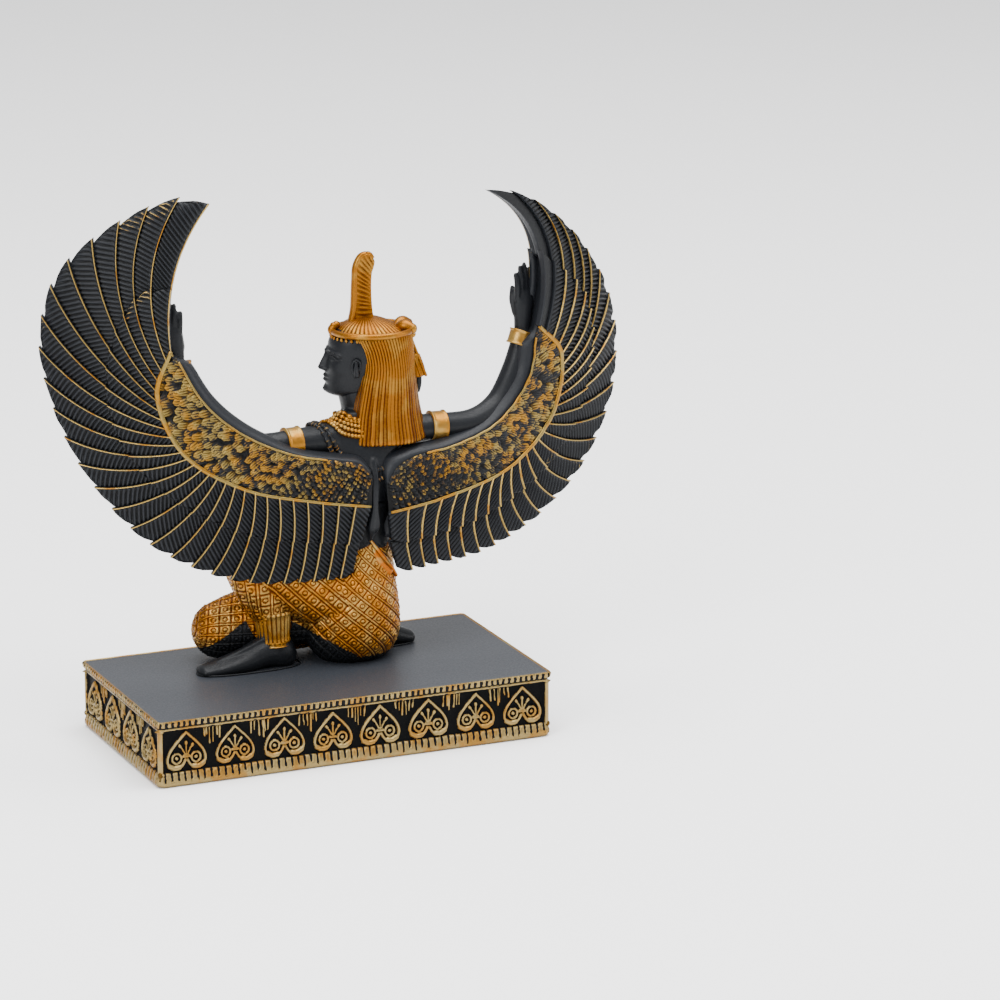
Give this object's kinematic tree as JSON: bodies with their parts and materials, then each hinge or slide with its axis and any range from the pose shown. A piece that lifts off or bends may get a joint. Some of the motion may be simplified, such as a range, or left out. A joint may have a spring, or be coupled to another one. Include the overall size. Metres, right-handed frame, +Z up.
{
  "type": "kneeling winged goddess figurine",
  "caption": "Kneeling goddess with raised arms along two spread feathered wings, head in profile with wig and plume, on an oblong plinth with a palmette frieze.",
  "frame": {"origin": "centre of the plinth's underside", "axes": "+X to the side that the face and the knees point to, -Y the way the chest faces, +Z up; the wings stand behind the back on the +Y side"},
  "size_m": [0.1547, 0.056, 0.137],
  "materials": {
    "black_resin": "cast resin with satin black paint",
    "antique_gold": "antique gold paint over black, brighter on the raised places"
  },
  "bodies": {
    "root": {"winged_figure": "black_resin", "plinth": "antique_gold"}
  },
  "joints": []
}
